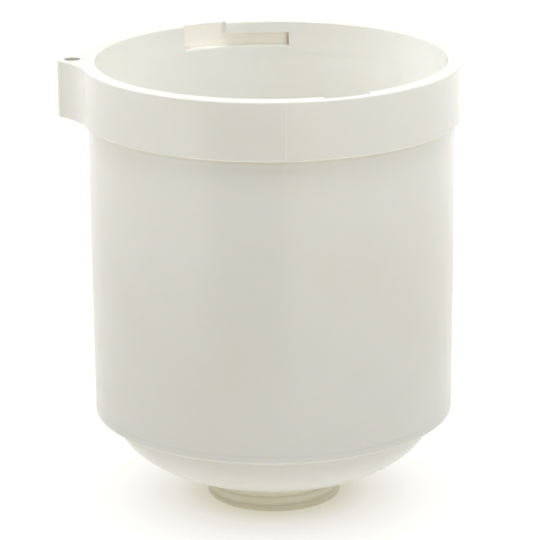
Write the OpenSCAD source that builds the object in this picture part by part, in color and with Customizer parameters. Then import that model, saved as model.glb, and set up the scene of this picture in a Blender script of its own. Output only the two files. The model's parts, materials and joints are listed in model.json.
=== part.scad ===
// Air-driven protein skimmer: the open contact vessel with its lift-out diffuser unit.
// Millimetres, +Z up. The origin is the centre of the outlet's lower edge, on which the
// vessel stands. The collar's lug points to -X.

/* [Vessel] */
// Height from the outlet's lower edge to the rim
total_h = 199; // [195:1:215]
// Outside diameter of the lock collar
collar_d = 166.5; // [166:0.5:172]
// Height of the lock collar
collar_h = 25.2; // [24:0.2:30]
// Inside diameter of the collar and barrel
bore_d = 152.8; // [152.8:0.1:153.2]
// Outside diameter of the barrel just under the collar
barrel_d = 160; // [160:0.1:160.4]
// How much the barrel's diameter shrinks from top to foot
barrel_draft = 1.2; // [0:0.1:1.6]
// Height of the barrel foot's underside
foot_z = 40.8; // [40.8:0.1:42]
// Thickness of the foot flange under the barrel
foot_h = 3.4; // [3:0.1:3.8]
// Outside diameter of the dished bottom where it leaves the foot
dish_d = 142.2; // [141:0.2:143]
// Depth of the dish's outer ellipse
dish_depth = 30.7; // [30:0.1:31.4]
// Wall of the dished bottom
dish_wall = 3.5; // [3:0.1:3.8]

/* [Bayonet slots] */
// Depth of the slots in the collar's inner wall
slot_depth = 3; // [2:0.1:3.2]
// Distance from the rim to the slot's floor
slot_floor = 11.3; // [10.5:0.1:11.5]
// Height of the ledge over the slot
ledge_h = 5.6; // [4:0.1:6]
// Angle of the slot's entry gap
entry_angle = 15.2; // [12:0.1:18]
// Angle of the run under the ledge
run_angle = 21.6; // [15:0.1:25]
// Where the first slot's run ends, counted from +X
slot_start = 84.1; // [80:0.1:90]

/* [Lug] */
// Distance from the vessel's axis to the lug's hole
lug_x = 86.2; // [85.5:0.1:88]
// Radius of the lug's tip
lug_r = 6.8; // [6:0.1:7.5]
// Radius of the concave blend between lug and collar
lug_blend = 45; // [35:1:55]
// Diameter of the lug's hole
lug_hole_d = 7; // [6:0.1:8]

/* [Outlet] */
// Outside diameter of the outlet spigot
outlet_d = 59.6; // [59.6:0.1:60]
// Bore of the outlet spigot
outlet_bore_d = 50; // [49.5:0.1:50.5]
// Number of windows round the strainer and the sleeve
window_count = 6; // [6:1:6]
// Angle that one window covers
window_angle = 24; // [20:1:25]
// How far the regulating sleeve turns from open to closed
sleeve_turn = 30; // [28:1:30]

/* [Diffuser unit] */
// Thickness of the baffle plate
plate_h = 4; // [3:0.5:4]
// Diameter of the holes in the baffle plate
plate_hole_d = 5; // [3:0.5:5]
// Number of wooden diffuser blocks
block_count = 6; // [6:1:6]
// Length of one diffuser block
block_l = 38; // [30:1:38]
// Width and height of one diffuser block
block_w = 14; // [12:1:14]
// Radius of the circle that the blocks stand on
block_r = 47; // [46:1:47]
// Radius of the lifting bail's arch
bail_r = 66; // [65.5:0.5:66.5]
// Diameter of the lifting bail's rod
bail_d = 5; // [4:0.1:5]

/* [Air line] */
// Distance from the vessel's axis to the air line
air_y = 67; // [66.5:0.5:67]
// Outside diameter of the rigid air tube
air_d = 6; // [5:0.5:6]
// Bore of the rigid air tube
air_bore_d = 3.6; // [2:0.1:3.6]
// Bore of the hose barb
barb_bore_d = 3; // [2:0.1:3]

/* [Hidden] */
$fn = 96;

ivory = [0.90, 0.89, 0.83];
grey_plastic = [0.55, 0.57, 0.58];
rubber_black = [0.10, 0.10, 0.10];
steel = [0.75, 0.75, 0.76];
limewood = [0.80, 0.68, 0.48];
blue_plastic = [0.16, 0.36, 0.62];
clear_tube = [0.82, 0.88, 0.88];

glue_gap = 0.1;      // between bonded walls
run_gap = 0.06;      // between a turning part and its seat
edge = 0.6;          // chamfer on moulded edges
bite = 0.2;          // how far a blend starts inside the wall that it joins
entry_relief = 0.2;  // how much deeper a slot's entry gap is than its run
past = 1;            // how far a cutter runs past the face it cuts

collar_r = collar_d / 2;
bore_r = bore_d / 2;
barrel_r = barrel_d / 2;
foot_r = (barrel_d - barrel_draft) / 2;
collar_z = total_h - collar_h;
socket_h = 10;                       // the barrel's top stands this far inside the collar
seam_z = foot_z + foot_h;            // the barrel stands on the foot flange here

dish_r = dish_d / 2;
dish_z = foot_z - 1.8;               // where the dish's ellipse starts
hub_r = 31;
land_z = 17;                         // flat land round the dish's hole
ledge_z = 52;                        // top of the ring that carries the baffle plate
ledge_w = 3.5;
key_angle = 45;
key_w = 5;
key_h = 3;

outlet_r = outlet_d / 2;
outlet_bore_r = outlet_bore_d / 2;
gasket_h = 1.5;
flange_r = 38;
flange_z = land_z + gasket_h;
flange_h = 4;
flange_top = flange_z + flange_h;
seat_z = 16;                         // the strainer stands on this shoulder

strainer_r = 28;
strainer_bore_r = 24.5;
strainer_top = 45;
strainer_roof = 4;
window_z = 25.5;
window_h = 3.5;                      // one strainer slot
window_pitch = 5;
window_rows = 3;
sleeve_r = 31;
sleeve_z = flange_top + 0.3;
stop_angle = 8;
stop_at = 26;                        // angle of the stop tab, between two windows
stop_h = 3;
cap_h = 3;
cap_screw_r = 2;

plate_r = bore_r - 0.6;
plate_top = ledge_z + plate_h;
plate_rings = [[12, 6], [20.5, 12], [28.5, 18], [61.5, 36]];   // radius and number of holes

manifold_in = 39;
manifold_out = 57;
manifold_wall = 2;
manifold_h = 10;
cover_h = 2.5;
cover_z = plate_top + manifold_h;
cover_top = cover_z + cover_h;
nipple_r = 2.6;
nipple_h = 7.5;
nipple_bore_r = 1.2;
tab_r = 36;                          // where the manifold's screw tabs stand
tab_angles = [60, 180, 300];
tab_h = 3;
screw_r = 1.5;
seal_h = 1.5;
block_z = cover_top + seal_h;

air_z = plate_top + 5;               // height of the elbow's level arm
air_r = air_d / 2;
air_bore_r = air_bore_d / 2;
fitting_r = 4.6;
tube_z = air_z + 5;
tap_z = 112;                         // foot of the tap
tap_axis_z = tap_z + 14;
tap_h = 26;
tap_r = 5.4;
plug_r = 3.5;
plug_house_r = 6.5;
plug_house_l = 15;
socket_depth = 8;
lever_l = 18;
barb_z = tap_z + tap_h;
barb_l = 9.5;
barb_rings = 3;

bail_z = plate_top + 9;
bail_rod_r = bail_d / 2;
bracket_x = 57.6;
bracket_w = 4;
bracket_base = [6, 24, 2.5];
bracket_screw_y = 8.5;
grip_r = 5;
grip_angle = 40;

// ring with a square section between two radii and two heights
module ring(r_in, r_out, z0, z1)
    rotate_extrude() translate([r_in, z0]) square([r_out - r_in, z1 - z0]);

// part of such a ring between two angles
module ring_sector(r_in, r_out, z0, z1, a0, a1)
    rotate([0, 0, a0]) rotate_extrude(angle = a1 - a0)
        translate([r_in, z0]) square([r_out - r_in, z1 - z0]);

// rod along X from x0 to x1
module rod_x(r, x0, x1)
    translate([x0, 0, 0]) rotate([0, 90, 0]) cylinder(r = r, h = x1 - x0);

// pan-head screw that points down, its head's seat at the origin
module pan_screw(r, length, head_r, head_h) {
    translate([0, 0, -length]) cylinder(r = r, h = length + 0.2);
    difference() {
        rotate_extrude() polygon([[0, 0], [head_r, 0], [head_r, head_h * 0.6],
            [head_r * 0.7, head_h], [0, head_h]]);
        for (a = [0, 90]) rotate([0, 0, a])
            translate([-head_r * 0.55, -head_r * 0.12, head_h * 0.5])
                cube([head_r * 1.1, head_r * 0.24, head_h]);
    }
}

// points of an ellipse's lower quarter from its widest radius down to angle t1
function dish_arc(a, b, z, t1, steps = 20) =
    [for (i = [0 : steps]) let (t = t1 * i / steps) [a * cos(t), z - b * sin(t)]];

function reversed(list) = [for (i = [len(list) - 1 : -1 : 0]) list[i]];

// ---------- vessel ----------

// plan of the lug: a round tip joined to the collar by two concave blends
module lug_plan() {
    reach = collar_r - bite + lug_blend;
    span = lug_r - bite + lug_blend;
    a = acos((pow(lug_x, 2) + pow(reach, 2) - pow(span, 2)) / (2 * lug_x * reach));
    blend = [-reach * cos(a), reach * sin(a)];
    tip = [-lug_x, 0];
    tip_end = tip + (blend - tip) * (lug_r - bite) / norm(blend - tip);
    root = [-cos(a), sin(a)];
    translate(tip) circle(r = lug_r);
    difference() {
        polygon([tip, tip_end, blend, root * (collar_r - 3), [root.x, -root.y] * (collar_r - 3),
            [blend.x, -blend.y], [tip_end.x, -tip_end.y]]);
        for (side = [-1, 1]) translate([blend.x, side * blend.y]) circle(r = lug_blend);
    }
}

// one bayonet slot: a gap down from the rim, then a run under a ledge
module bayonet_slot() {
    slot_r = bore_r + slot_depth;
    end = slot_start + run_angle + entry_angle;
    floor_z = total_h - slot_floor;
    ring_sector(bore_r - 2 * past, slot_r, floor_z, total_h - ledge_h, slot_start, end);
    ring_sector(bore_r - 2 * past, slot_r + entry_relief, floor_z, total_h + past,
        end - entry_angle, end);
}

module lock_collar() color(ivory) difference() {
    union() {
        rotate_extrude() polygon([[bore_r - past, collar_z], [collar_r - edge, collar_z],
            [collar_r, collar_z + edge], [collar_r, total_h - edge],
            [collar_r - edge, total_h], [bore_r - past, total_h]]);
        translate([0, 0, collar_z]) linear_extrude(collar_h) lug_plan();
    }
    translate([0, 0, collar_z - past]) cylinder(r = bore_r, h = collar_h + 2 * past);
    translate([0, 0, collar_z - past])
        cylinder(r = barrel_r + glue_gap, h = socket_h + glue_gap + past);
    for (turn = [0, 180]) rotate([0, 0, turn]) bayonet_slot();
    translate([-lug_x, 0, collar_z - past]) cylinder(d = lug_hole_d, h = collar_h + 2 * past);
    translate([-lug_x, 0, total_h - edge])
        cylinder(d1 = lug_hole_d, d2 = lug_hole_d + 4 * edge, h = 2 * edge);
    translate([-lug_x, 0, collar_z - edge])
        cylinder(d1 = lug_hole_d + 4 * edge, d2 = lug_hole_d, h = 2 * edge);
}

module barrel() color(ivory) rotate_extrude()
    polygon([[bore_r, seam_z], [foot_r, seam_z], [barrel_r, collar_z],
        [barrel_r, collar_z + socket_h], [bore_r, collar_z + socket_h]]);

module dished_bottom() color(ivory) {
    in_r = dish_r - dish_wall;
    in_depth = dish_depth - dish_wall;
    spigot_r = bore_r - glue_gap;
    outer = dish_arc(dish_r, dish_depth, dish_z, acos((hub_r + glue_gap) / dish_r));
    inner = dish_arc(in_r, in_depth, dish_z, asin((dish_z - land_z) / in_depth));
    rotate_extrude() polygon(concat(reversed(outer),
        [[dish_r, foot_z], [foot_r - edge, foot_z], [foot_r, foot_z + edge],
        [foot_r, seam_z], [spigot_r, seam_z], [spigot_r, ledge_z],
        [spigot_r - ledge_w, ledge_z], [spigot_r - ledge_w, seam_z + edge],
        [in_r, foot_z]], inner, [[hub_r + glue_gap, land_z]]));
    half_key = asin(key_w / 2 / spigot_r);
    ring_sector(spigot_r - ledge_w, spigot_r - glue_gap, ledge_z - 0.2, ledge_z + key_h,
        key_angle - half_key, key_angle + half_key);
}

module outlet_neck() color(ivory) {
    hub_z = dish_z - dish_depth * sqrt(1 - pow(hub_r / dish_r, 2));
    rotate_extrude() polygon([[outlet_bore_r, 0], [outlet_r - edge, 0], [outlet_r, edge],
        [outlet_r, hub_z], [hub_r, hub_z], [hub_r, flange_z], [flange_r, flange_z],
        [flange_r, flange_top], [strainer_r + glue_gap, flange_top],
        [strainer_r + glue_gap, seat_z], [outlet_bore_r, seat_z]]);
}

module neck_gasket() color(rubber_black) ring(hub_r + 0.4, flange_r, land_z, flange_z);

// ---------- outlet strainer and its regulating sleeve ----------

module outlet_strainer() color(grey_plastic) difference() {
    translate([0, 0, seat_z]) cylinder(r = strainer_r, h = strainer_top - seat_z);
    translate([0, 0, seat_z - past])
        cylinder(r = strainer_bore_r, h = strainer_top - strainer_roof - seat_z + past);
    for (i = [0 : window_count - 1], row = [0 : window_rows - 1])
        ring_sector(strainer_bore_r - past, strainer_r + past,
            window_z + row * window_pitch, window_z + row * window_pitch + window_h,
            i * 360 / window_count - window_angle / 2, i * 360 / window_count + window_angle / 2);
    translate([0, 0, strainer_top - strainer_roof - past])
        cylinder(r = cap_screw_r + 0.02, h = strainer_roof + 2 * past);
}

module strainer_cap() color(grey_plastic) difference() {
    union() {
        rotate_extrude() polygon([[0, strainer_top], [sleeve_r, strainer_top],
            [sleeve_r, strainer_top + cap_h - edge], [sleeve_r - edge, strainer_top + cap_h],
            [0, strainer_top + cap_h]]);
        ring_sector(strainer_r + 0.4, sleeve_r - 0.2, strainer_top - stop_h,
            strainer_top + 0.2, stop_at, stop_at + stop_angle);
    }
    translate([0, 0, strainer_top - past]) cylinder(r = cap_screw_r + 0.2, h = cap_h + 2 * past);
}

module cap_screw() color(steel) translate([0, 0, strainer_top + cap_h])
    pan_screw(cap_screw_r, cap_h + strainer_roof - 0.5, 4, 2.4);

module regulating_sleeve() color(blue_plastic) {
    sleeve_top = strainer_top - 0.3;
    open = window_angle + 2;
    rib_angle = 4;
    difference() {
        union() {
            ring(strainer_r + run_gap, sleeve_r, sleeve_z, sleeve_top);
            for (i = [0 : 2 : window_count - 1]) {
                middle = (i + 0.5) * 360 / window_count;
                ring_sector(sleeve_r - 0.5, sleeve_r + 4, sleeve_z + 2, sleeve_top - stop_h - 1,
                    middle - rib_angle, middle + rib_angle);
            }
        }
        for (i = [0 : window_count - 1])
            ring_sector(strainer_r - past, sleeve_r + past, window_z - 0.7,
                window_z + window_rows * window_pitch - 0.8,
                i * 360 / window_count - open / 2, i * 360 / window_count + open / 2);
        ring_sector(strainer_r - past, sleeve_r + past, strainer_top - stop_h - 0.3,
            strainer_top, stop_at - sleeve_turn - 0.6, stop_at + stop_angle + 0.6);
    }
}

// ---------- lift-out diffuser unit ----------

module baffle_plate() color(grey_plastic) translate([0, 0, ledge_z]) linear_extrude(plate_h)
    difference() {
        circle(r = plate_r);
        for (hole_ring = plate_rings, i = [0 : hole_ring[1] - 1]) {
            angle = (i + 0.5) * 360 / hole_ring[1];
            under_bracket = hole_ring[0] > manifold_out && abs(sin(angle)) < 0.25;
            if (!under_bracket) rotate([0, 0, angle]) translate([hole_ring[0], 0])
                circle(d = plate_hole_d);
        }
        rotate([0, 0, key_angle]) translate([bore_r - glue_gap - ledge_w - 0.6, -key_w / 2 - 0.4])
            square([10, key_w + 0.8]);
        for (side = [0, 180], y = [-bracket_screw_y, bracket_screw_y]) rotate([0, 0, side])
            translate([bracket_x + bracket_base.x / 2, y]) circle(r = screw_r + 0.02);
        for (angle = tab_angles) rotate([0, 0, angle]) translate([tab_r, 0])
            circle(r = screw_r + 0.02);
    }

module manifold_base() color(blue_plastic) difference() {
    union() {
        rotate_extrude() polygon([[manifold_in, plate_top], [manifold_out, plate_top],
            [manifold_out, cover_z], [manifold_out - manifold_wall, cover_z],
            [manifold_out - manifold_wall, plate_top + manifold_wall],
            [manifold_in + manifold_wall, plate_top + manifold_wall],
            [manifold_in + manifold_wall, cover_z], [manifold_in, cover_z]]);
        for (angle = tab_angles) rotate([0, 0, angle]) {
            translate([tab_r, 0, plate_top]) cylinder(r = 4.5, h = tab_h);
            translate([tab_r, -4.5, plate_top]) cube([manifold_in + 1 - tab_r, 9, tab_h]);
        }
    }
    for (angle = tab_angles) rotate([0, 0, angle]) translate([tab_r, 0, plate_top - past])
        cylinder(r = screw_r + 0.2, h = tab_h + 2 * past);
    translate([0, 0, air_z]) rotate([0, 0, -90])
        rod_x(air_r + glue_gap, manifold_out - manifold_wall - past, manifold_out + past);
}

module manifold_cover() color(blue_plastic) difference() {
    union() {
        rotate_extrude() polygon([[manifold_in, cover_z],
            [manifold_in + manifold_wall + glue_gap, cover_z],
            [manifold_in + manifold_wall + glue_gap, cover_z - 1.2],
            [manifold_out - manifold_wall - glue_gap, cover_z - 1.2],
            [manifold_out - manifold_wall - glue_gap, cover_z], [manifold_out, cover_z],
            [manifold_out, cover_top], [manifold_in, cover_top]]);
        on_blocks() translate([0, 0, cover_top - 0.2]) cylinder(r = nipple_r, h = nipple_h + 0.2);
    }
    on_blocks() translate([0, 0, cover_z - 2]) cylinder(r = nipple_bore_r, h = 2 * nipple_h);
}

// places a child at each diffuser block, its X pointing outward
module on_blocks() for (i = [0 : block_count - 1])
    rotate([0, 0, (i + 0.5) * 360 / block_count]) translate([block_r, 0, 0]) children();

module manifold_screws() color(steel) for (angle = tab_angles)
    rotate([0, 0, angle]) translate([tab_r, 0, plate_top + tab_h])
        pan_screw(screw_r, tab_h + plate_h - 0.6, 2.9, 1.8);

module diffuser_blocks() color(limewood) on_blocks() difference() {
    translate([-block_w / 2, -block_l / 2, block_z]) cube([block_w, block_l, block_w]);
    translate([0, 0, block_z - past]) cylinder(r = nipple_r + 0.15, h = nipple_h + past);
}

module block_seals() color(rubber_black) on_blocks()
    ring(nipple_r + glue_gap, 5.5, cover_top, block_z);

// ---------- air line ----------

module air_elbow() color(blue_plastic) difference() {
    union() {
        translate([0, 0, air_z]) rotate([0, 0, -90]) {
            rod_x(air_r, manifold_out - manifold_wall, air_y);
            rod_x(fitting_r, manifold_out + 0.3, air_y);
        }
        translate([0, -air_y, air_z]) sphere(r = fitting_r);
        translate([0, -air_y, air_z]) cylinder(r = fitting_r, h = tube_z + socket_depth - air_z);
    }
    translate([0, 0, air_z]) rotate([0, 0, -90])
        rod_x(air_bore_r, manifold_out - manifold_wall - past, air_y);
    translate([0, -air_y, air_z]) cylinder(r = air_bore_r, h = tube_z);
    translate([0, -air_y, air_z]) sphere(r = air_bore_r);
    translate([0, -air_y, tube_z]) cylinder(r = air_r + 0.05, h = socket_depth + past);
}

module air_tube() color(clear_tube) translate([0, -air_y, 0])
    ring(air_bore_r, air_r, tube_z, tap_z + socket_depth);

module tap_body() color(ivory) translate([0, -air_y, 0]) difference() {
    union() {
        translate([0, 0, tap_z]) cylinder(r = tap_r, h = tap_h);
        translate([0, 0, tap_axis_z]) rod_x(plug_house_r, -plug_house_l / 2, plug_house_l / 2);
    }
    translate([0, 0, tap_z - past]) cylinder(r = air_r + 0.05, h = socket_depth + past);
    translate([0, 0, tap_z]) cylinder(r = air_bore_r, h = tap_h);
    translate([0, 0, tap_z + tap_h - socket_depth + 2])
        cylinder(r = air_r + 0.05, h = socket_depth);
    translate([0, 0, tap_axis_z]) rod_x(plug_r, -plug_house_l, plug_house_l);
}

module tap_plug() color(blue_plastic) translate([0, -air_y, tap_axis_z]) {
    lever_x = plug_house_l / 2 + 0.3;
    difference() {
        union() {
            rod_x(plug_r - run_gap, -plug_house_l / 2, lever_x + 0.2);
            rod_x(4.5, lever_x, lever_x + 3);
            translate([lever_x, -2.5, 0]) cube([3, 5, lever_l]);
            translate([0, 0, lever_l]) rod_x(2.5, lever_x, lever_x + 3);
        }
        translate([0, 0, -plug_r]) cylinder(r = air_bore_r, h = 2 * plug_r);
    }
}

module hose_barb() color(ivory) translate([0, -air_y, 0]) {
    step = barb_l / barb_rings;
    rotate_extrude() polygon(concat(
        [[air_bore_r, barb_z - 5.8], [air_r, barb_z - 5.8], [air_r, barb_z],
        [fitting_r, barb_z], [fitting_r, barb_z + 2.5]],
        [for (i = [0 : barb_rings - 1], end = [0, 1])
            [end == 0 ? 3 : 2.3, barb_z + 2.5 + (i + end) * step]],
        [[barb_bore_d / 2, barb_z + 2.5 + barb_l], [barb_bore_d / 2, barb_z],
        [air_bore_r, barb_z]]));
}

// ---------- lifting bail ----------

module bail_brackets() color(grey_plastic) for (side = [0, 180]) rotate([0, 0, side])
    difference() {
        union() {
            translate([bracket_x, -bracket_base.y / 2, plate_top]) cube(bracket_base);
            translate([bracket_x, -5, plate_top]) cube([bracket_w, 10, bail_z - plate_top]);
            translate([0, 0, bail_z]) rod_x(5, bracket_x, bracket_x + bracket_w);
        }
        translate([0, 0, bail_z]) rod_x(bail_rod_r + run_gap, bracket_x - past,
            bracket_x + bracket_w + past);
        for (y = [-bracket_screw_y, bracket_screw_y])
            translate([bracket_x + bracket_base.x / 2, y, plate_top - past])
                cylinder(r = screw_r + 0.2, h = bracket_base.z + 2 * past);
    }

module bracket_screws() color(steel) for (side = [0, 180]) rotate([0, 0, side])
    for (y = [-bracket_screw_y, bracket_screw_y])
        translate([bracket_x + bracket_base.x / 2, y, plate_top + bracket_base.z])
            pan_screw(screw_r, bracket_base.z + plate_h - 0.6, 2.6, 1.7);

module lift_bail() color(steel) translate([0, 0, bail_z]) {
    rotate_extrude(angle = 180) translate([bail_r, 0]) circle(r = bail_rod_r);
    for (side = [0, 180]) rotate([0, 0, side]) {
        translate([bail_r, 0, 0]) sphere(r = bail_rod_r);
        rod_x(bail_rod_r, bracket_x + 0.1, bail_r);
    }
}

module bail_grip() color(blue_plastic) translate([0, 0, bail_z])
    rotate([0, 0, 90 - grip_angle / 2]) rotate_extrude(angle = grip_angle)
        translate([bail_r, 0]) difference() {
            circle(r = grip_r);
            circle(r = bail_rod_r + glue_gap);
        }

lock_collar();
barrel();
dished_bottom();
outlet_neck();
neck_gasket();
outlet_strainer();
strainer_cap();
cap_screw();
regulating_sleeve();
baffle_plate();
manifold_base();
manifold_cover();
manifold_screws();
diffuser_blocks();
block_seals();
air_elbow();
air_tube();
tap_body();
tap_plug();
hose_barb();
bail_brackets();
bracket_screws();
lift_bail();
bail_grip();
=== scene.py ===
"""Looks of an air-driven protein skimmer: an ivory moulded vessel and its lift-out diffuser unit,
with the camera, floor and studio light. Shapes are in millimetres until they reach Blender;
camera, materials and lights are in metres."""

import json
import math

import bmesh
import bpy
from mathutils import Matrix, Vector


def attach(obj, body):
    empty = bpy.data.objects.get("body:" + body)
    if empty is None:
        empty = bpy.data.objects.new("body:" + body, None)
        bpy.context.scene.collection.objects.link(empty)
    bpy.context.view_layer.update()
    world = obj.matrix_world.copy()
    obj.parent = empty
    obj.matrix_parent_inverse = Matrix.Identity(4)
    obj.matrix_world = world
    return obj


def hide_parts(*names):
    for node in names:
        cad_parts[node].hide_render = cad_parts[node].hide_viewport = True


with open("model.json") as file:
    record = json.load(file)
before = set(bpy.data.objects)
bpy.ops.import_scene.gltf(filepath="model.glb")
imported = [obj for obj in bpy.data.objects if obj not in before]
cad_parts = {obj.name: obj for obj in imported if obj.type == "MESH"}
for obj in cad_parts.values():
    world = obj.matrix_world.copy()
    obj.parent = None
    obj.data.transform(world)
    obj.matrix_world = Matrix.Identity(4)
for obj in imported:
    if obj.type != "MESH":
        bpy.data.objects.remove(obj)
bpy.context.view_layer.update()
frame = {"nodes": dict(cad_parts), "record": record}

MM = 0.001
NODES = frame["nodes"]

# ---------- sizes shared with the CAD parts ----------

TOTAL_H = 199.0
COLLAR_R, COLLAR_Z = 83.25, 173.8
SOCKET_Z = 183.8
BORE_R = 76.4
BARREL_R, FOOT_R = 80.0, 79.4
FOOT_Z, SEAM_Z = 40.8, 44.2
DISH_R, DISH_Z, DISH_DEPTH, DISH_WALL = 71.1, 39.0, 30.7, 3.5
HUB_R, LAND_Z = 31.0, 17.0
LEDGE_Z, LEDGE_W = 52.0, 3.5
OUTLET_R, OUTLET_BORE_R = 29.8, 25.0
HUB_Z = DISH_Z - DISH_DEPTH * math.sqrt(1 - (HUB_R / DISH_R) ** 2)
LUG_X, LUG_R, LUG_BLEND, LUG_BITE, LUG_HOLE_R = 86.2, 6.8, 45.0, 0.2, 3.5
SLOT_DEPTH, SLOT_FLOOR, SLOT_LEDGE = 3.0, 11.3, 5.6      # both heights are below the rim
SLOT_START, SLOT_RUN, SLOT_ENTRY = 84.1, 21.6, 15.2      # degrees
FLANGE_R, FLANGE_Z, FLANGE_TOP = 38.0, 18.5, 22.5
STRAINER_R, SEAT_Z = 28.0, 16.0
GLUE_GAP = 0.1
FLAT_ANGLE = 40                                          # degrees, sharper edges stay sharp


# ---------- camera ----------

def make_camera():
    """An ordinary camera tilted down at the vessel, with a slight roll."""
    tilt, roll = 0.2937, 0.00684
    data = bpy.data.cameras.new("camera")
    data.sensor_width = 36.0
    data.lens = 194.29333
    data.clip_start, data.clip_end = 0.05, 20.0
    camera = bpy.data.objects.new("camera", data)
    bpy.context.scene.collection.objects.link(camera)
    right = Vector((1, 0, 0))
    up = Vector((0, math.sin(tilt), math.cos(tilt)))
    turned_right = right * math.cos(roll) - up * math.sin(roll)
    turned_up = right * math.sin(roll) + up * math.cos(roll)
    back = turned_right.cross(turned_up)
    turn = Matrix((turned_right, turned_up, back)).transposed()
    camera.matrix_world = Matrix.Translation((-0.0012, -1.2336, 0.4760)) @ turn.to_4x4()
    bpy.context.scene.camera = camera


make_camera()


# ---------- mesh helpers ----------

def new_object(name, vertices, faces, smooth_angle=FLAT_ANGLE):
    """Object from points in millimetres, smooth where faces meet at less than the angle."""
    mesh = bpy.data.meshes.new(name)
    mesh.from_pydata([(x * MM, y * MM, z * MM) for x, y, z in vertices], [], faces)
    mesh.validate()
    mesh.shade_smooth()
    mesh.set_sharp_from_angle(angle=math.radians(smooth_angle))
    made = bpy.data.objects.new(name, mesh)
    bpy.context.scene.collection.objects.link(made)
    return made


def rounded(corners, steps=5, hold=0.35):
    """Closed outline of (u, v, fillet) corners with each one rounded, and held by a short straight
    on both sides so that the flats beside it stay flat in the shading."""
    outline = []
    count = len(corners)
    for i, (u, v, fillet) in enumerate(corners):
        here = Vector((u, v))
        before = Vector(corners[i - 1][:2]) - here
        after = Vector(corners[(i + 1) % count][:2]) - here
        room = 0.48 * min(before.length, after.length)
        to_before, to_after = before.normalized(), after.normalized()
        half = to_before.angle(to_after) / 2
        nearly_straight = half > math.radians(88.5)
        if fillet <= 0 or nearly_straight:
            outline.append((u, v))
            continue
        reach = min(fillet / math.tan(half), room)
        radius = reach * math.tan(half)
        centre = here + (to_before + to_after).normalized() * (radius / math.sin(half))
        start = here + to_before * reach - centre
        end = here + to_after * reach - centre
        sweep = start.angle_signed(end)
        if room - reach > hold:
            outline.append(tuple(here + to_before * (reach + hold)))
        for k in range(steps + 1):
            spoke = Matrix.Rotation(-sweep * k / steps, 2) @ start
            outline.append(tuple(centre + spoke))
        if room - reach > hold:
            outline.append(tuple(here + to_after * (reach + hold)))
    return outline


def loops_to_mesh(rings):
    """Vertices and quads that join closed rings of the same number of points, the last to the
    first."""
    size = len(rings[0])
    vertices = [point for ring in rings for point in ring]
    faces = []
    for i in range(len(rings)):
        a, b = i * size, (i + 1) % len(rings) * size
        for k in range(size):
            n = (k + 1) % size
            faces.append((a + k, b + k, b + n, a + n))
    return vertices, faces


def turned(outline, segments, centre_x=0.0):
    """Rings of points from a (radius, height) outline turned about a vertical axis."""
    rings = []
    for i in range(segments):
        angle = 2 * math.pi * i / segments
        c, s = math.cos(angle), math.sin(angle)
        rings.append([(r * c + centre_x, r * s, z) for r, z in outline])
    return rings


def lathe(name, corners):
    """Solid of revolution about the vessel's axis from rounded (radius, height, fillet) corners
    that run counter-clockwise in the radius-height plane."""
    return new_object(name, *loops_to_mesh(turned(rounded(corners), 256)))


def smooth_step(x, edge, width):
    """0 below the edge and 1 above it, with a soft rise of the given width."""
    t = min(max((x - edge) / width + 0.5, 0.0), 1.0)
    return t * t * (3 - 2 * t)


def spaced(lo, hi, step, edges=(), fine=0.12, reach=0.35):
    """Values from lo to hi, a coarse step apart, and a fine one near each edge."""
    values = {round(lo + (hi - lo) * i / max(1, round((hi - lo) / step)), 4)
              for i in range(max(1, round((hi - lo) / step)) + 1)}
    for edge in edges:
        values = {v for v in values if abs(v - edge) > reach or v in (lo, hi)}
        count = round(2 * reach / fine)
        values |= {round(edge - reach + 2 * reach * i / count, 4) for i in range(count + 1)
                   if lo <= edge - reach + 2 * reach * i / count <= hi}
    return sorted(values)


# ---------- lock collar ----------

def lug_blend_centre():
    """Distance from the axis and angle from -X of the centre of the lug's concave blend."""
    reach = COLLAR_R - LUG_BITE + LUG_BLEND
    span = LUG_R - LUG_BITE + LUG_BLEND
    angle = math.acos((LUG_X ** 2 + reach ** 2 - span ** 2) / (2 * LUG_X * reach))
    return reach, angle


BLEND_REACH, BLEND_ANGLE = lug_blend_centre()


def collar_radius(angle):
    """Radius of the collar's outline, the lug included, at an angle from +X in radians."""
    off = abs(math.remainder(angle - math.pi, 2 * math.pi))
    if off >= BLEND_ANGLE:
        return COLLAR_R
    blend = (BLEND_REACH * math.cos(BLEND_ANGLE), BLEND_REACH * math.sin(BLEND_ANGLE))
    along = Vector((blend[0] - LUG_X, blend[1])).normalized() * (LUG_R - LUG_BITE)
    tip_end = math.atan2(along.y, LUG_X + along.x)
    if off <= tip_end:
        inside = LUG_R ** 2 - (LUG_X * math.sin(off)) ** 2
        return LUG_X * math.cos(off) + math.sqrt(max(0.0, inside))
    turn = BLEND_ANGLE - off
    inside = LUG_BLEND ** 2 - (BLEND_REACH * math.sin(turn)) ** 2
    return max(COLLAR_R, BLEND_REACH * math.cos(turn) - math.sqrt(inside))


def collar_normal(angle):
    """Outward normal of the collar's outline in plan."""
    d = 1e-4
    r0, r1 = collar_radius(angle - d), collar_radius(angle + d)
    along = Vector((r1 * math.cos(angle + d) - r0 * math.cos(angle - d),
                    r1 * math.sin(angle + d) - r0 * math.sin(angle - d)))
    return Vector((along.y, -along.x)).normalized()


def slot_depth(degrees, z):
    """How deep the bayonet slots cut into the inner wall at an angle and height."""
    soft = 0.45
    deepest = 0.0
    per_mm = 180 / math.pi / BORE_R
    floor, ledge = TOTAL_H - SLOT_FLOOR, TOTAL_H - SLOT_LEDGE
    for turn in (0, 180):
        start = SLOT_START + turn
        gap, end = start + SLOT_RUN, start + SLOT_RUN + SLOT_ENTRY
        over_floor = smooth_step(z, floor, soft)
        before_end = 1 - smooth_step(degrees, end, soft * per_mm)
        run = (smooth_step(degrees, start, soft * per_mm) * before_end * over_floor
               * (1 - smooth_step(z, ledge, soft)))
        entry = smooth_step(degrees, gap, soft * per_mm) * before_end * over_floor
        deepest = max(deepest, run, entry)
    return SLOT_DEPTH * deepest


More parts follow.
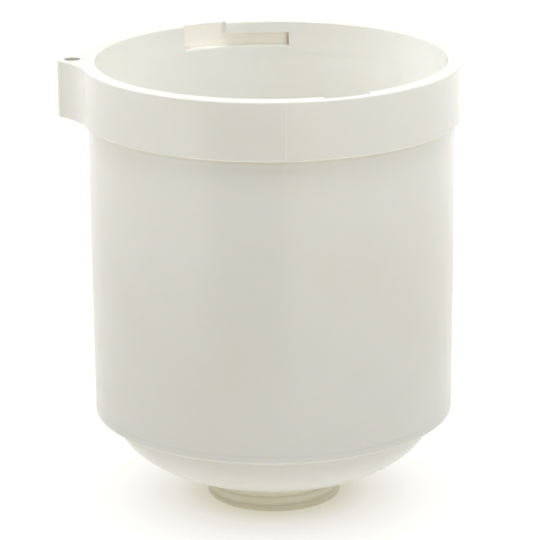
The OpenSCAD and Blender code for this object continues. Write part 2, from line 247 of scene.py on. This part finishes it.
def make_collar():
    """Collar with its lug, socket rebate and two bayonet slots, all edges softly moulded."""
    edge, steps = 0.7, 5
    socket_r, socket_top = BARREL_R + GLUE_GAP, SOCKET_Z + GLUE_GAP
    slot_edges = [SLOT_START + t + a for t in (0, 180)
                  for a in (0, SLOT_RUN, SLOT_RUN + SLOT_ENTRY)]
    degrees = spaced(0, 359, 1.0, slot_edges, 0.09, 0.36)
    lug_span = 16
    degrees = sorted(set(d for d in degrees if abs(d - 180) > lug_span)
                     | set(spaced(180 - lug_span, 180 + lug_span, 0.25, (175.4, 184.6), 0.06,
                                  1.3)))
    inner_z = spaced(socket_top, TOTAL_H - edge, 1.6,
                     (TOTAL_H - SLOT_FLOOR, TOTAL_H - SLOT_LEDGE), 0.11, 0.33)
    rings = []
    for d in degrees:
        angle = math.radians(d)
        out = Vector((math.cos(angle), math.sin(angle)))
        rim = collar_radius(angle) * out
        inward = -collar_normal(angle)
        ring = []

        def put(plan, z):
            ring.append((plan.x, plan.y, z))

        for z in inner_z:
            put(out * (BORE_R + slot_depth(d, z)), z)
        top_in = BORE_R + slot_depth(d, TOTAL_H - edge)
        for k in range(1, steps + 1):
            t = math.pi / 2 * k / steps
            put(out * (top_in + edge * (1 - math.cos(t))), TOTAL_H - edge + edge * math.sin(t))
        face_in, face_out = out * (top_in + edge), rim + inward * edge
        for part in (0.08, 0.5, 0.92):
            put(face_in.lerp(face_out, part), TOTAL_H)
        for k in range(steps + 1):
            t = math.pi / 2 * k / steps
            put(rim + inward * edge * (1 - math.sin(t)), TOTAL_H - edge + edge * math.cos(t))
        put(rim, TOTAL_H - edge - 0.4)
        put(rim, (TOTAL_H + COLLAR_Z) / 2)
        put(rim, COLLAR_Z + edge + 0.4)
        for k in range(steps + 1):
            t = math.pi / 2 * k / steps
            put(rim + inward * edge * (1 - math.cos(t)), COLLAR_Z + edge - edge * math.sin(t))
        put((rim + inward * edge).lerp(out * socket_r, 0.2), COLLAR_Z)
        put(out * (socket_r + 0.3), COLLAR_Z)
        put(out * socket_r, COLLAR_Z + 0.2)
        put(out * socket_r, socket_top)
        rings.append(ring)
    collar = new_object("collar_moulding", *loops_to_mesh(rings))
    cut_hole(collar, make_lug_drill())
    return collar


def make_lug_drill():
    """Cutter for the lug's hole, flared where it leaves the collar at both ends."""
    flare, steps = 0.4, 6
    profile = []
    for k in range(steps + 1):
        t = math.pi / 2 * k / steps
        past_r, past_z = (0.6, 0.4) if k == steps else (0, 0)
        profile.append((LUG_HOLE_R + flare * (1 - math.cos(t)) + past_r,
                        flare * math.sin(t) + past_z))
    thin = 0.01
    outline = ([(thin, COLLAR_Z - 2)]
               + [(r, COLLAR_Z + flare - rise) for r, rise in reversed(profile)]
               + [(r, TOTAL_H - flare + rise) for r, rise in profile]
               + [(thin, TOTAL_H + 2)])
    return new_object("lug_drill", *loops_to_mesh(turned(outline, 64, -LUG_X)))


def cut_hole(solid, cutter):
    """Takes the cutter's shape out of the solid's mesh and removes the cutter."""
    cut = solid.modifiers.new("cut", "BOOLEAN")
    cut.operation, cut.solver, cut.object = "DIFFERENCE", "EXACT", cutter
    apply_modifiers(solid)
    bpy.data.objects.remove(cutter)


def apply_modifiers(piece):
    """Keeps the modifiers' result as the piece's own mesh, smooth up to the flat angle."""
    depsgraph = bpy.context.evaluated_depsgraph_get()
    mesh = bpy.data.meshes.new_from_object(piece.evaluated_get(depsgraph))
    piece.modifiers.clear()
    piece.data = mesh
    mesh.shade_smooth()
    mesh.set_sharp_from_angle(angle=math.radians(FLAT_ANGLE))
    return piece


# ---------- barrel, dish and neck ----------

def make_barrel():
    """Straight-sided shell, a little narrower at the foot."""
    return lathe("barrel_moulding", [
        (BORE_R, SEAM_Z, 0), (FOOT_R, SEAM_Z, 0.05), (BARREL_R, COLLAR_Z - 0.5, 0),
        (BARREL_R, SOCKET_Z + GLUE_GAP, 0.3), (BORE_R, SOCKET_Z + GLUE_GAP, 0)])


def ellipse_arc(a, b, z, t0, t1, steps):
    """Points of the lower quarter of an upright ellipse between two angles."""
    return [(a * math.cos(t0 + (t1 - t0) * i / steps),
             z - b * math.sin(t0 + (t1 - t0) * i / steps), 0) for i in range(steps + 1)]


def make_dish():
    """Foot flange, elliptical dish and the ring that carries the baffle plate."""
    in_r, in_depth = DISH_R - DISH_WALL, DISH_DEPTH - DISH_WALL
    hole, spigot_r = HUB_R + GLUE_GAP, BORE_R - GLUE_GAP
    outer = ellipse_arc(DISH_R, DISH_DEPTH, DISH_Z, math.acos(hole / DISH_R), 0.0, 40)
    inner = ellipse_arc(in_r, in_depth, DISH_Z, 0.0, math.asin((DISH_Z - LAND_Z) / in_depth), 28)
    ring_in = spigot_r - LEDGE_W
    return lathe("dish_moulding", [(hole, outer[0][1] + 0.3, 0)] + outer[1:-1] + [
        (DISH_R, DISH_Z, 0), (DISH_R + 0.25, FOOT_Z, 1.1), (FOOT_R, FOOT_Z, 0.9),
        (FOOT_R, SEAM_Z, 0.05), (spigot_r, SEAM_Z, 0), (spigot_r, LEDGE_Z, 0.5),
        (ring_in, LEDGE_Z, 0.5), (ring_in, SEAM_Z + 0.6, 0.3), (in_r, FOOT_Z, 0.5)]
        + inner + [(hole, LAND_Z, 0.3)])


def thread_valley(angle, z):
    """Depth of the outlet's screw thread at an angle and height. It has one start, near the
    front, and fades out at its lower end."""
    pitch, first, last, depth = 4.0, 1.7, 12.0, 0.55
    start, front, front_z = math.radians(-104), math.radians(-90), 3.35
    turn = (angle - start) % (2 * math.pi) / (2 * math.pi)
    level = front_z - pitch * (front - start) / (2 * math.pi)
    nearest = math.inf
    for k in range(-1, 4):
        groove = level + pitch * (turn + k)
        if first - 0.6 <= groove <= last:
            fade = smooth_step(groove, first + 0.1, 0.9)
            nearest = min(nearest, abs(z - groove) + 1.2 * (1 - fade))
    return depth * (1 - smooth_step(nearest, 0.62, 0.85))


def make_neck():
    """Outlet spigot with its screw thread, hub and inner flange."""
    lowest, step, segments = 1.0, 0.2, 288
    thread_z = [lowest + step * i for i in range(int((HUB_Z - lowest - step) / step))]
    hub_top, seat_r = HUB_Z + GLUE_GAP, STRAINER_R + GLUE_GAP
    plain = rounded([(OUTLET_BORE_R, 0, 0.5), (OUTLET_R, 0, 0.9), (OUTLET_R, hub_top, 0.05),
                     (HUB_R, hub_top, 0.2), (HUB_R, FLANGE_Z, 0), (FLANGE_R, FLANGE_Z, 0.3),
                     (FLANGE_R, FLANGE_TOP, 0.5), (seat_r, FLANGE_TOP, 0.4), (seat_r, SEAT_Z, 0.2),
                     (OUTLET_BORE_R, SEAT_Z, 0.4)], 4)
    cut = 1 + max(i for i, (r, z) in enumerate(plain) if r > OUTLET_R - 1.2 and z < lowest)
    after = next(i for i in range(cut, len(plain)) if plain[i][1] > HUB_Z - step)
    rings = []
    for i in range(segments):
        angle = 2 * math.pi * i / segments
        c, s = math.cos(angle), math.sin(angle)
        outline = (plain[:cut] + [(OUTLET_R - thread_valley(angle, z), z) for z in thread_z]
                   + plain[after:])
        rings.append([(r * c, r * s, z) for r, z in outline])
    return new_object("outlet_moulding", *loops_to_mesh(rings), smooth_angle=60)


# ---------- finished copies of the CAD nodes ----------

def softened(node, width):
    """Copy of a CAD node, smooth on its curves, with its sharp edges rounded over a width in
    millimetres when there is one."""
    mesh = NODES[node].data.copy()
    shape = bmesh.new()
    shape.from_mesh(mesh)
    bmesh.ops.remove_doubles(shape, verts=shape.verts, dist=0.002 * MM)
    bmesh.ops.dissolve_limit(shape, angle_limit=math.radians(0.5), verts=shape.verts,
                             edges=shape.edges)
    shape.to_mesh(mesh)
    shape.free()
    piece = bpy.data.objects.new(f"{node}_finished", mesh)
    bpy.context.scene.collection.objects.link(piece)
    if width > 0:
        bevel = piece.modifiers.new("round", "BEVEL")
        bevel.width = width * MM
        bevel.segments = 2
        bevel.limit_method = "ANGLE"
        bevel.angle_limit = math.radians(38)
        bevel.use_clamp_overlap = False
    even = piece.modifiers.new("even", "WEIGHTED_NORMAL")
    even.keep_sharp = True
    even.weight = 100
    return apply_modifiers(piece)


# ---------- materials ----------

class Nodes:
    """Short calls for building one node material on object coordinates in metres."""

    def __init__(self, name):
        self.material = bpy.data.materials.new(name)
        self.material.use_nodes = True
        self.tree = self.material.node_tree
        self.shader = self.tree.nodes["Principled BSDF"]
        self.place = self.add("ShaderNodeTexCoord").outputs["Object"]

    def add(self, kind, inputs=None, **settings):
        node = self.tree.nodes.new(kind)
        for key, value in settings.items():
            setattr(node, key, value)
        for key, value in (inputs or {}).items():
            self.set(node.inputs[key], value)
        return node

    def set(self, socket, value):
        if isinstance(value, bpy.types.NodeSocket):
            self.tree.links.new(value, socket)
        else:
            socket.default_value = value

    def math(self, operation, a, b=0.0, c=0.0):
        return self.add("ShaderNodeMath", {0: a, 1: b, 2: c}, operation=operation).outputs[0]

    def product(self, *factors):
        """All the factors multiplied."""
        result = factors[0]
        for factor in factors[1:]:
            result = self.math("MULTIPLY", result, factor)
        return result

    def noise(self, scale, detail, rough=0.5, stretch=(1, 1, 1)):
        spread = self.add("ShaderNodeMapping", {"Vector": self.place, "Scale": stretch})
        return self.add("ShaderNodeTexNoise", {
            "Vector": spread.outputs[0], "Scale": scale, "Detail": detail,
            "Roughness": rough}).outputs["Fac"]

    def mix(self, factor, colour, other):
        """Colour blended towards a fixed other colour."""
        return self.add("ShaderNodeMix", {"Factor": factor, 6: colour, 7: (*other, 1)},
                        data_type="RGBA").outputs[2]

    def place_axes(self):
        return self.add("ShaderNodeSeparateXYZ", {"Vector": self.place}).outputs

    def axis_distance(self):
        """Distance from the vertical axis."""
        flat = self.add("ShaderNodeVectorMath", {0: self.place, 1: (1, 1, 0)},
                        operation="MULTIPLY").outputs[0]
        return self.add("ShaderNodeVectorMath", {0: flat}, operation="LENGTH").outputs["Value"]

    def ramp(self, value, stops):
        node = self.add("ShaderNodeValToRGB", {"Fac": value})
        ramp = node.color_ramp
        while len(ramp.elements) < len(stops):
            ramp.elements.new(0.5)
        for element, (position, colour) in zip(ramp.elements, stops):
            element.position = position
            element.color = (*colour, 1.0)
        return node.outputs["Color"]

    def range(self, value, low, high, start, end):
        """Low up to the start, high from the end on, and a straight rise between."""
        return self.add("ShaderNodeMapRange", {
            "Value": value, "From Min": start, "From Max": end, "To Min": low,
            "To Max": high}).outputs[0]

    def bump(self, height, distance, strength, under=None):
        inputs = {"Height": height, "Distance": distance, "Strength": strength}
        if under is not None:
            inputs["Normal"] = under
        return self.add("ShaderNodeBump", inputs).outputs[0]

    def surface(self, **sockets):
        for key, value in sockets.items():
            self.set(self.shader.inputs[key.replace("_", " ")], value)
        return self.material


# Ivory tones are deep, middle and pale. Linear colour throughout.
IVORY = ((0.730, 0.715, 0.640), (0.746, 0.738, 0.682), (0.758, 0.753, 0.704))
# Painted light: the neck's ivory is brighter and warmer than the rest, to light it up where it
# sits in shade.
PAINTED_LIGHT_IVORY = ((0.87, 0.82, 0.65), (0.885, 0.84, 0.68), (0.90, 0.855, 0.70))
# Speck tone, also used for the painted shadow line under the collar.
IVORY_SPECK_AND_SHADOW = (0.68, 0.65, 0.56)
# Parting line tone: paler than the ivory, a painted highlight along the raised ridge.
IVORY_LINE_HIGHLIGHT = (0.800, 0.794, 0.738)
# Painted shade in the bayonet slots' corners and under their ledges.
IVORY_PAINTED_SHADE = (0.50, 0.40, 0.26)
# Painted light: the bayonet slots are paler, as light through their thinner wall.
IVORY_PAINTED_LIGHT = (0.90, 0.85, 0.74)


def from_plane(n, x, y, degrees):
    """Distance from the upright plane through the vessel's axis at an angle. Both bayonet slots
    end in the same planes."""
    turn = math.radians(degrees)
    across = n.math("MULTIPLY_ADD", x, math.sin(turn), n.math("MULTIPLY", y, -math.cos(turn)))
    return n.math("ABSOLUTE", across)


def parting_line(n, x, y, z):
    """1 on the mould's parting line down the front of the collar, 0 away from it."""
    line_angle, front_y = 0.068, -0.0775
    angle = n.math("ARCTAN2", x, n.math("MULTIPLY", y, -1))
    off = n.math("ABSOLUTE", n.math("SUBTRACT", angle, line_angle))
    return n.product(n.range(off, 1.0, 0.0, 0.0010, 0.0060), n.range(z, 0.0, 1.0, 0.160, 0.176),
                     n.math("LESS_THAN", y, front_y))


def slot_recess(n, radius, z):
    """1 on the walls and floor of the bayonet slots, 0 elsewhere."""
    bore, floor, rim = BORE_R * MM, (TOTAL_H - SLOT_FLOOR) * MM, TOTAL_H * MM
    return n.product(n.range(radius, 0.0, 1.0, bore + 0.0004, bore + 0.0026),
                     n.math("LESS_THAN", radius, bore + 0.0036),
                     n.range(z, 0.0, 1.0, floor - 0.0007, floor - 0.0003),
                     n.range(z, 1.0, 0.0, rim - 0.0012, rim - 0.0006))


def slot_painted_shade(n, x, y, z):
    """Strength of the painted shade in a slot: at its closed end, at the foot of its open end and
    under its ledge.
    """
    floor, ledge = (TOTAL_H - SLOT_FLOOR) * MM, (TOTAL_H - SLOT_LEDGE) * MM
    run_length = 0.0286
    from_closed = from_plane(n, x, y, SLOT_START)
    from_open = from_plane(n, x, y, SLOT_START + SLOT_RUN + SLOT_ENTRY)
    closed_end = n.range(from_closed, 1.0, 0.0, 0.0002, 0.0018)
    open_end = n.product(n.range(from_open, 1.0, 0.0, 0.0005, 0.0050),
                         n.range(z, 0.8, 0.0, floor + 0.0001, floor + 0.0018))
    under_ledge = n.product(n.range(z, 0.0, 0.5, ledge - 0.0010, ledge),
                            n.math("LESS_THAN", z, ledge + 0.0002),
                            n.math("LESS_THAN", from_closed, run_length))
    painted_shade = n.math("MAXIMUM", n.math("MAXIMUM", closed_end, open_end), under_ledge)
    return n.product(painted_shade, n.range(n.noise(420, 3, 0.6), 0.1, 1.0, 0.3, 0.6))


def under_collar_shadow(n, radius, z):
    """Strength of the painted shadow line on the barrel, just under the collar's overhang."""
    height = n.math("ABSOLUTE", n.math("SUBTRACT", z, COLLAR_Z * MM - 0.0012))
    return n.product(n.range(height, 0.75, 0.0, 0.0002, 0.0011),
                     n.math("COMPARE", radius, BARREL_R * MM, 0.0003))


def ivory_plastic(name, tones, marks_and_painted_light=False):
    """Glossy ivory moulding: faint tone clouds, specks and flow waviness. The marks are the raised
    parting line with a painted highlight along it, the bayonet slots painted paler as painted
    light through their thinner wall, painted shade in the slots' corners and under their ledges,
    and a painted shadow line on the barrel under the collar's overhang."""
    n = Nodes(name)
    deep, middle, pale = tones
    colour = n.ramp(n.noise(14, 4, 0.55), [(0.3, deep), (0.5, middle), (0.72, pale)])
    specks = n.range(n.noise(900, 2, 0.6), 0.0, 0.25, 0.74, 0.84)
    colour = n.mix(specks, colour, IVORY_SPECK_AND_SHADOW)
    rough = n.range(n.noise(22, 2, 0.4), 0.21, 0.27, 0.25, 0.75)
    waves = n.bump(n.noise(20, 1, 0.3, (1, 1, 0.35)), 0.0004, 0.25)
    grain = n.bump(n.noise(2600, 2, 0.5), 0.00002, 0.5, waves)
    if marks_and_painted_light:
        x, y, z = n.place_axes()
        radius = n.axis_distance()
        line = parting_line(n, x, y, z)
        grain = n.bump(line, 0.00003, 0.6, grain)
        # Painted highlight: the parting line is painted paler along its ridge.
        colour = n.mix(n.product(line, 0.55), colour, IVORY_LINE_HIGHLIGHT)
        recess = slot_recess(n, radius, z)
        # Painted light: the slots are painted paler, as light through their thinner wall.
        colour = n.mix(n.product(recess, 0.55), colour, IVORY_PAINTED_LIGHT)
        # Painted shade in the slots' corners and under their ledges.
        colour = n.mix(n.product(recess, slot_painted_shade(n, x, y, z)), colour, IVORY_PAINTED_SHADE)
        # Painted shadow line on the barrel under the collar's overhang.
        colour = n.mix(under_collar_shadow(n, radius, z), colour, IVORY_SPECK_AND_SHADOW)
    n.shader.subsurface_method = "RANDOM_WALK"
    return n.surface(Base_Color=colour, Roughness=rough, Normal=grain, IOR=1.49,
                     Subsurface_Weight=0.35, Subsurface_Radius=(1.0, 0.85, 0.6),
                     Subsurface_Scale=0.0012)


def matt_plastic(name, deep, pale, roughness, grain_scale):
    """Moulded engineering plastic: spark-eroded grain, tone clouds, slight handling shine."""
    n = Nodes(name)
    colour = n.ramp(n.noise(30, 4, 0.6), [(0.3, deep), (0.7, pale)])
    rough = n.range(n.noise(55, 4, 0.6), roughness - 0.07, roughness + 0.09, 0.3, 0.7)
    soft = n.bump(n.noise(60, 2), 0.0003, 0.25)
    grain = n.bump(n.noise(grain_scale, 3, 0.6), 0.00004, 0.6, soft)
    return n.surface(Base_Color=colour, Roughness=rough, Normal=grain)


def rubber():
    """Matt black rubber with a dusty bloom and moulding grain."""
    n = Nodes("rubber")
    colour = n.ramp(n.noise(120, 5, 0.65), [(0.35, (0.018, 0.018, 0.019)),
                                             (0.7, (0.045, 0.044, 0.043))])
    rough = n.range(n.noise(200, 3), 0.62, 0.85, 0.3, 0.7)
    grain = n.bump(n.noise(1800, 3, 0.6), 0.00005, 0.7)
    return n.surface(Base_Color=colour, Roughness=rough, Normal=grain)


def brushed_steel():
    """Stainless steel with a drawn grain and faint water marks."""
    n = Nodes("steel")
    drawn = n.noise(700, 2, 0.5, (1, 1, 0.08))
    colour = n.ramp(n.noise(60, 3, 0.5), [(0.3, (0.56, 0.56, 0.56)), (0.7, (0.64, 0.64, 0.635))])
    rough = n.range(drawn, 0.34, 0.44, 0.3, 0.7)
    grain = n.bump(drawn, 0.000002, 0.2)
    return n.surface(Base_Color=colour, Metallic=1.0, Roughness=rough, Normal=grain)


def limewood():
    """Raw limewood: faint growth lines, upright fibres, tone clouds and a furry sawn surface."""
    n = Nodes("limewood")
    warped = n.add("ShaderNodeMapping", {"Vector": n.place, "Scale": (1, 1, 0.1)}).outputs[0]
    rings = n.add("ShaderNodeTexWave", {
        "Vector": warped, "Scale": 85.0, "Distortion": 5.0, "Detail": 3.0,
        "Detail Scale": 0.9}, wave_type="BANDS", bands_direction="DIAGONAL").outputs["Fac"]
    fibres = n.noise(1500, 4, 0.7, (1, 1, 0.06))
    clouds = n.noise(60, 3, 0.5)
    tone = n.math("MULTIPLY_ADD", fibres, 0.51, n.math("MULTIPLY_ADD", clouds, 0.35,
                                                        n.math("MULTIPLY", rings, 0.14)))
    colour = n.ramp(tone, [(0.3, (0.45, 0.32, 0.185)), (0.5, (0.56, 0.425, 0.265)),
                           (0.7, (0.64, 0.505, 0.335))])
    rough = n.range(fibres, 0.62, 0.85, 0.3, 0.7)
    grain = n.bump(fibres, 0.00010, 0.7)
    return n.surface(Base_Color=colour, Roughness=rough, Normal=grain)


def clear_acrylic():
    """Clear tube with a faint green tint, drawing lines and a dusting of limescale."""
    n = Nodes("clear_tube")
    lime = n.ramp(n.noise(150, 5, 0.7), [(0.45, (0.80, 0.90, 0.88)), (0.75, (0.93, 0.95, 0.94))])
    rough = n.range(n.noise(220, 4, 0.6), 0.03, 0.16, 0.35, 0.7)
    lines = n.bump(n.noise(500, 1, 0.4, (1, 1, 0.02)), 0.00001, 0.4)
    return n.surface(Base_Color=lime, Roughness=rough, Normal=lines, Transmission_Weight=0.85,
                     IOR=1.49)


def paint(target, material):
    """Gives a piece or CAD node one material."""
    target.data.materials.clear()
    target.data.materials.append(material)


# ---------- pieces ----------

# Ivory for the collar and barrel, with the moulded marks and the painted light and shade.
ivory_with_marks_and_painted_light = ivory_plastic("ivory_with_marks_and_painted_light", IVORY, marks_and_painted_light=True)
ivory = ivory_plastic("ivory", IVORY)
# Painted light: a brighter, warmer ivory for the neck in the vessel's shade.
painted_light_ivory = ivory_plastic("painted_light_ivory", PAINTED_LIGHT_IVORY)
grey = matt_plastic("grey_plastic", (0.33, 0.35, 0.36), (0.39, 0.405, 0.41), 0.42, 1500)
blue = matt_plastic("blue_plastic", (0.035, 0.12, 0.30), (0.05, 0.155, 0.36), 0.30, 2200)
black = rubber()
steel = brushed_steel()
wood = limewood()
acrylic = clear_acrylic()

for maker, node, material in (
        (make_collar, "lock_collar", ivory_with_marks_and_painted_light), (make_barrel, "barrel", ivory_with_marks_and_painted_light),
        (make_dish, "dished_bottom", ivory), (make_neck, "outlet_neck", painted_light_ivory)):
    piece = maker()
    paint(piece, material)
    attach(piece, "vessel")
    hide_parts(node)

BODY_OF = {node: body for body, members in frame["record"]["behaviour"]["bodies"].items()
           for node in members}
for slot, material, rounding in (
        ("grey_plastic", grey, {"outlet_strainer": 0.3, "strainer_cap": 0.3, "baffle_plate": 0.4,
                                "bail_brackets": 0.5}),
        ("blue_plastic", blue, {"regulating_sleeve": 0.3, "manifold_base": 0.6,
                                "manifold_cover": 0.4, "air_elbow": 0.3, "tap_plug": 0.5,
                                "bail_grip": 0.8}),
        ("ivory_plastic", ivory, {"tap_body": 0.4, "hose_barb": 0.15}),
        ("steel", steel, {"cap_screw": 0.15, "manifold_screws": 0.12, "bracket_screws": 0.12,
                          "lift_bail": 0}),
        ("limewood", wood, {"diffuser_blocks": 0.8}),
        ("black_rubber", black, {"neck_gasket": 0, "block_seals": 0.2}),
        ("clear_tube", acrylic, {"air_tube": 0})):
    for node, width in rounding.items():
        piece = softened(node, width)
        paint(piece, material)
        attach(piece, BODY_OF[node])
        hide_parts(node)


# ---------- floor and light ----------

def make_floor():
    """White studio sweep that glows, with a warm painted shadow in its glow around the vessel's
    neck, and evenly white far behind the vessel.
    """
    floor = new_object("floor", [(-4000, -4000, 0), (4000, -4000, 0), (4000, 4000, 0),
                                 (-4000, 4000, 0)], [(0, 1, 2, 3)])
    n = Nodes("floor")
    tone = n.ramp(n.noise(3, 3), [(0.3, (0.24, 0.238, 0.232)), (0.7, (0.26, 0.258, 0.252))])
    radius = n.axis_distance()
    # Painted shadow: the glow is darker and warmer close to the vessel's axis, around the neck.
    glow_with_painted_shadow = n.ramp(n.math("MULTIPLY", radius, 10.0), [
        (0.15, (0.40, 0.365, 0.28)), (0.31, (0.51, 0.485, 0.40)), (0.45, (0.66, 0.65, 0.61)),
        (0.60, (0.75, 0.745, 0.715)), (0.80, (0.77, 0.76, 0.725))])
    rise = n.range(radius, 1.0, 2.2, 0.40, 1.05)
    paint(floor, n.surface(Base_Color=tone, Roughness=0.75, Emission_Color=glow_with_painted_shadow,
                           Emission_Strength=rise))


def make_world():
    """Even white surroundings: full white to the eye, a little less in reflections, and faint as
    light."""
    world = bpy.data.worlds.new("studio")
    bpy.context.scene.world = world
    world.use_nodes = True
    tree = world.node_tree
    background = tree.nodes["Background"]
    background.inputs["Color"].default_value = (1.0, 0.995, 0.985, 1)
    path = tree.nodes.new("ShaderNodeLightPath")
    strength = tree.nodes.new("ShaderNodeMapRange")
    strength.inputs["To Min"].default_value = 0.06
    strength.inputs["To Max"].default_value = 1.1
    seen = tree.nodes.new("ShaderNodeMath")
    seen.operation = "MULTIPLY_ADD"
    tree.links.new(path.outputs["Is Glossy Ray"], seen.inputs[0])
    seen.inputs[1].default_value = 0.8
    tree.links.new(path.outputs["Is Camera Ray"], seen.inputs[2])
    tree.links.new(seen.outputs[0], strength.inputs["Value"])
    tree.links.new(strength.outputs[0], background.inputs["Strength"])


COOL_WHITE = (0.96, 0.975, 1.0)
WARM_WHITE = (1.0, 0.97, 0.91)


def make_light(name, place, target, size, power, colour=(1, 1, 1), glossy=True):
    """Rectangular soft light at a place, aimed at a target, both in metres."""
    data = bpy.data.lights.new(name, "AREA")
    data.shape = "RECTANGLE"
    data.size, data.size_y = size
    data.energy = power
    data.color = colour
    light = bpy.data.objects.new(name, data)
    bpy.context.scene.collection.objects.link(light)
    light.location = place
    aim = Vector(target) - Vector(place)
    light.rotation_mode = "QUATERNION"
    light.rotation_quaternion = aim.to_track_quat("-Z", "Y")
    light.visible_camera = False
    light.visible_glossy = glossy


def make_fill(name, place, radius, power):
    """Small soft lamp that stands for the light coming through the vessel's walls."""
    data = bpy.data.lights.new(name, "POINT")
    data.shadow_soft_size = radius
    data.energy = power
    data.color = COOL_WHITE
    lamp = bpy.data.objects.new(name, data)
    bpy.context.scene.collection.objects.link(lamp)
    lamp.location = place
    lamp.visible_camera = False
    lamp.visible_glossy = False


def make_flag(name, corners):
    """Black card that lights and camera don't see, only the gloss of the object."""
    card = new_object(name, corners, [(0, 1, 2, 3)])
    n = Nodes(name)
    tone = n.ramp(n.noise(5, 2), [(0.3, (0.02, 0.02, 0.02)), (0.7, (0.03, 0.03, 0.03))])
    paint(card, n.surface(Base_Color=tone, Roughness=0.9))
    card.visible_camera = False
    card.visible_diffuse = False
    card.visible_shadow = False


make_floor()
make_world()
make_light("top_box", (0.0, 0.1, 1.6), (0, 0, 0.1), (2.2, 2.2), 46, COOL_WHITE)
RING_R, RING_Z = 1.25, 0.85
for step in range(8):
    azimuth = math.radians(22.5 + 45 * step)
    place = (RING_R * math.cos(azimuth), RING_R * math.sin(azimuth), RING_Z)
    make_light(f"ring_box_{step}", place, (0, 0, 0.05), (0.9, 0.5), 0.35, glossy=False)
make_light("left_box", (-0.9, -0.5, 1.0), (0, 0, 0.2), (0.7, 0.9), 0.7, WARM_WHITE)
make_light("right_box", (0.9, -0.5, 1.0), (0, 0, 0.2), (0.7, 0.9), 1.1, COOL_WHITE)
make_fill("left_fill", (-0.030, 0.012, 0.188), 0.020, 0.040)
make_fill("right_fill", (0.032, 0.012, 0.188), 0.020, 0.050)
make_flag("front_flag", [(-235, -312, 1), (50, -318, 1), (200, -1265, 1), (-900, -1200, 1)])

bpy.context.scene.view_settings.view_transform = "Standard"
bpy.context.scene.view_settings.look = "None"
